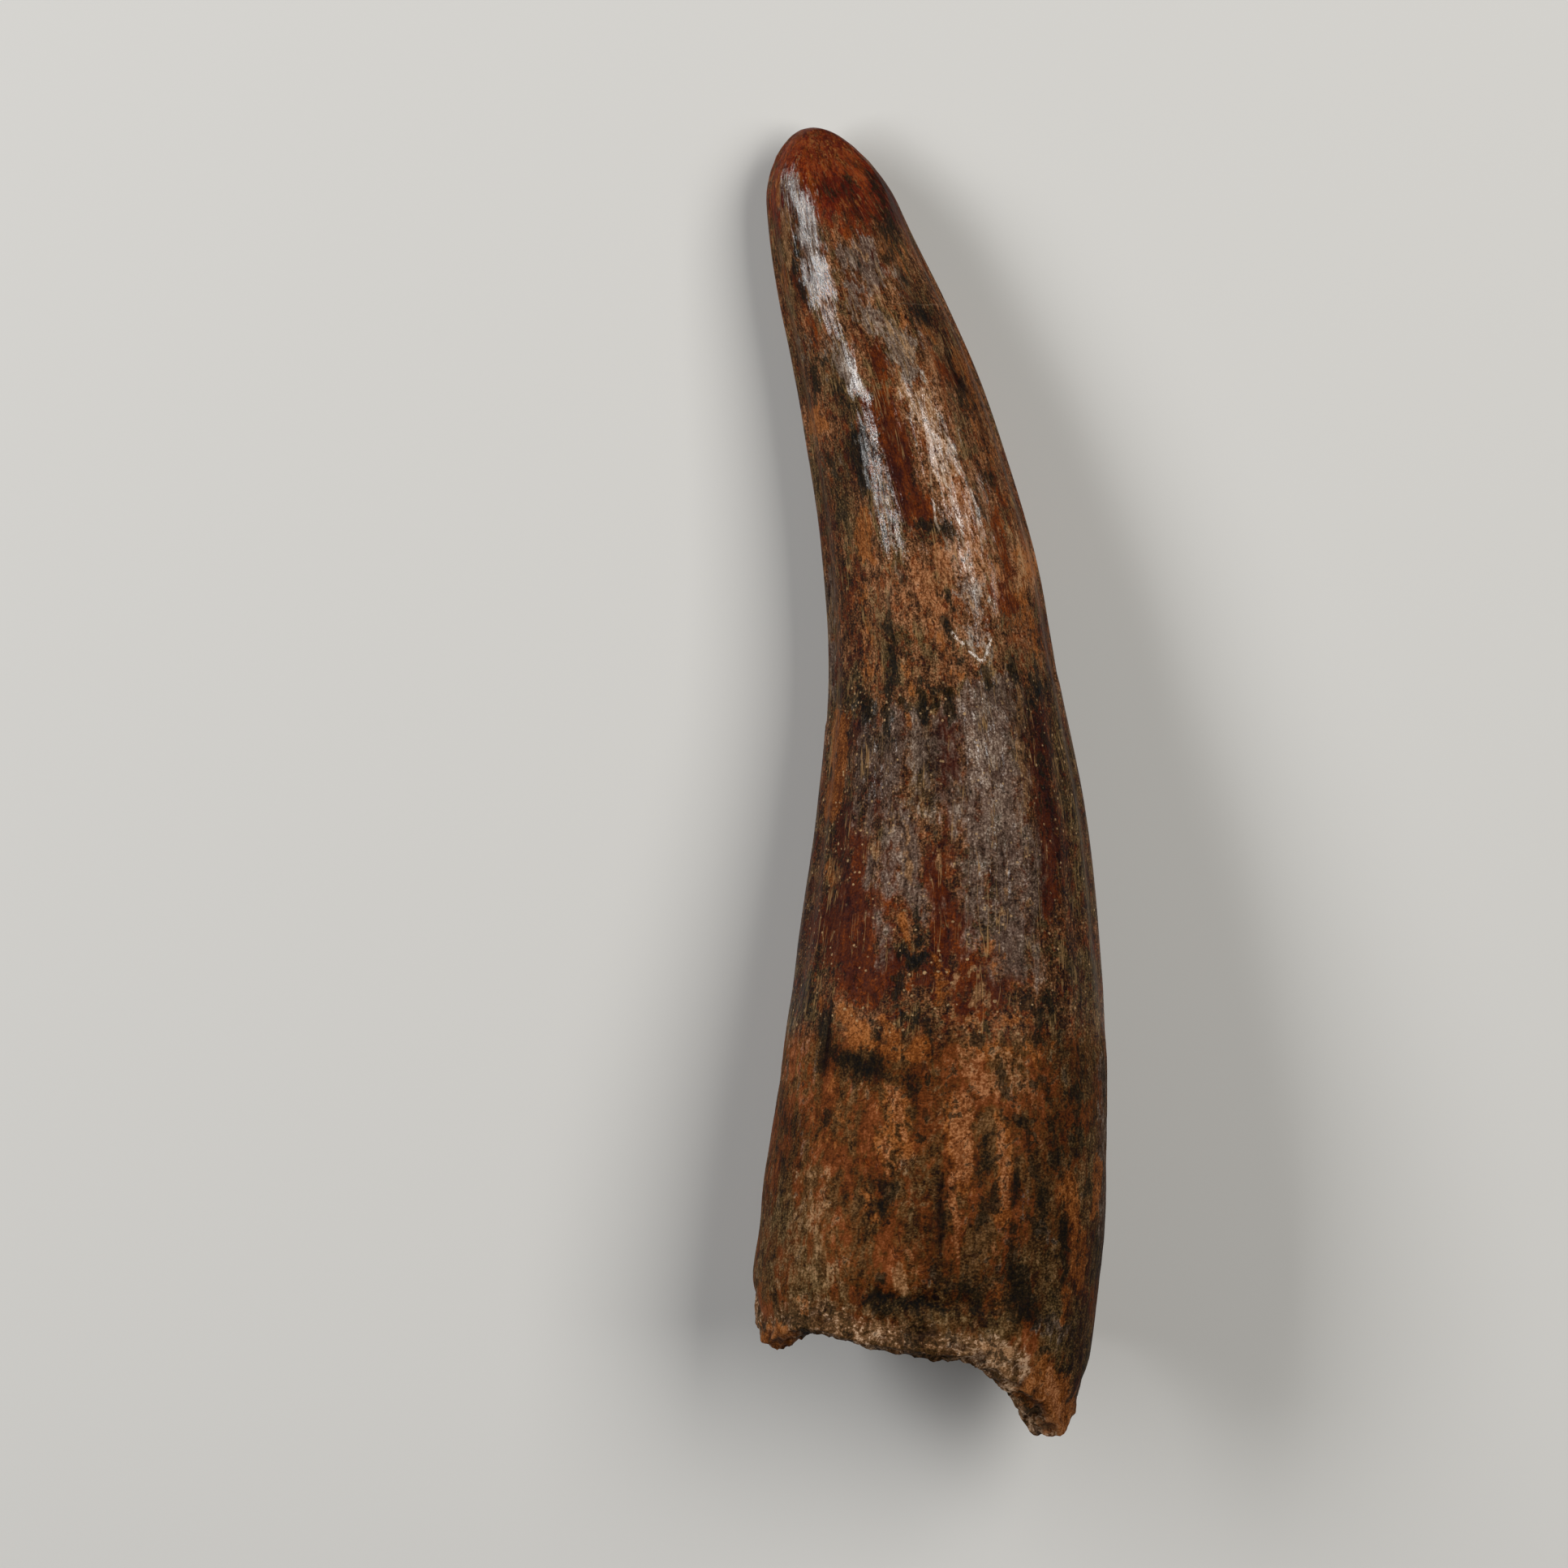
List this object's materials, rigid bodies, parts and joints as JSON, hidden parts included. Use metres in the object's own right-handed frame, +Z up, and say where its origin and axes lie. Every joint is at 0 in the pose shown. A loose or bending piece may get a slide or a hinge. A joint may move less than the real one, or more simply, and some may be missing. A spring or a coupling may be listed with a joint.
{
  "type": "fossil spinosaurid tooth",
  "caption": "Long, gently curved conical dinosaur tooth with a blunt worn tip, fine lengthwise ridges and a hollow broken root, lying on its side.",
  "frame": {"origin": "on the surface that the tooth lies on, under the middle of its bounding box", "axes": "+Y along the tooth towards its tip, +Z up from the surface, +X towards the front (convex) keel"},
  "size_m": [0.0274, 0.1018, 0.0222],
  "materials": {
    "fossil_enamel_and_bone": "polished enamel over worn, fine-grained bone"
  },
  "bodies": {
    "root": {"tooth": "fossil_enamel_and_bone"}
  },
  "joints": []
}
